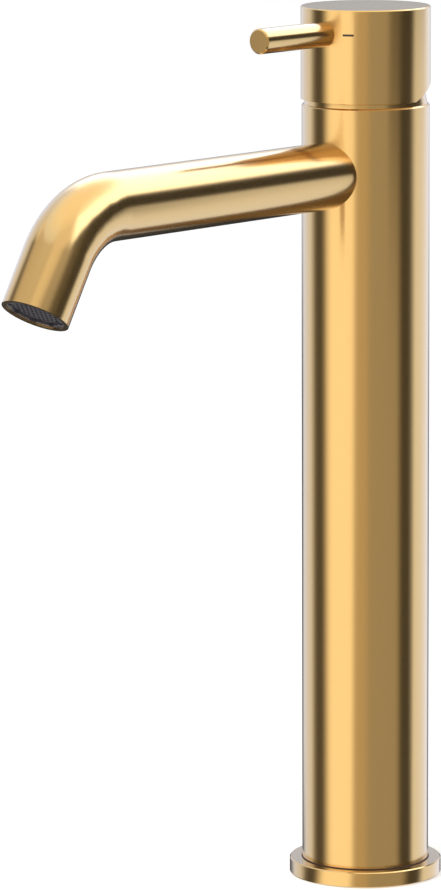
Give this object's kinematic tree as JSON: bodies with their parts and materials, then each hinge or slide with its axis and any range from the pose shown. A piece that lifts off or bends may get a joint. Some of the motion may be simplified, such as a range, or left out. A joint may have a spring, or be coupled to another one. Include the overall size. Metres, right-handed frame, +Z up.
{
  "type": "bathroom mixer faucet",
  "caption": "Tall deck-mounted basin mixer in satin gold: round column, bent tube spout with aerator, and a cylindrical lever cap that lifts and turns.",
  "frame": {"origin": "centre of the base flange's underside, on the column's axis and on the deck", "axes": "+Z up along the column, the spout and the lever along -Y, +X to the right of someone at the basin"},
  "size_m": [0.054, 0.2083, 0.31],
  "materials": {
    "satin_gold": "brushed satin gold plating",
    "raw_brass": "machined",
    "steel": "machined stainless",
    "black_rubber": "moulded",
    "grey_plastic": "moulded",
    "white_plastic": "moulded",
    "ceramic": "lapped"
  },
  "bodies": {
    "body": {"base_flange": "satin_gold", "column": "satin_gold", "spout": "satin_gold", "dome_ring": "satin_gold", "foot_insert": "raw_brass", "valve_body": "raw_brass", "retaining_nut": "raw_brass", "deck_gasket": "black_rubber", "aerator_washer": "black_rubber", "valve_body_o_rings": "black_rubber", "cartridge_seals": "black_rubber", "aerator_housing": "grey_plastic", "aerator_screen": "grey_plastic", "aerator_diffuser": "white_plastic", "cartridge_base": "white_plastic", "cartridge_housing": "white_plastic", "fixed_ceramic_disc": "ceramic"},
    "rotor": {"stem_carrier": "white_plastic", "pivot_pin": "steel"},
    "slider": {"moving_ceramic_disc": "ceramic", "disc_driver": "white_plastic"},
    "handle": {"handle_cap": "satin_gold", "lever_rod": "satin_gold", "grub_screw": "steel", "lever_stem": "steel"}
  },
  "joints": [
    {"name": "lever_swivel", "type": "hinge", "parent": "body", "child": "rotor", "pos_m": [0, 0, 0.2731], "axis": [0, 0, 1], "range_deg": [-50, 50]},
    {"name": "lever_lift", "type": "hinge", "parent": "rotor", "child": "handle", "pos_m": [0, 0, 0.2731], "axis": [-1, 0, 0], "range_deg": [0, 24]},
    {"name": "disc_slide", "type": "slide", "parent": "rotor", "child": "slider", "axis": [0, -1, 0], "range_m": [0, 0.0059]}
  ],
  "couplings": [
    {"joint": "disc_slide", "follows": "lever_lift", "m_per_rad": 0.014}
  ]
}
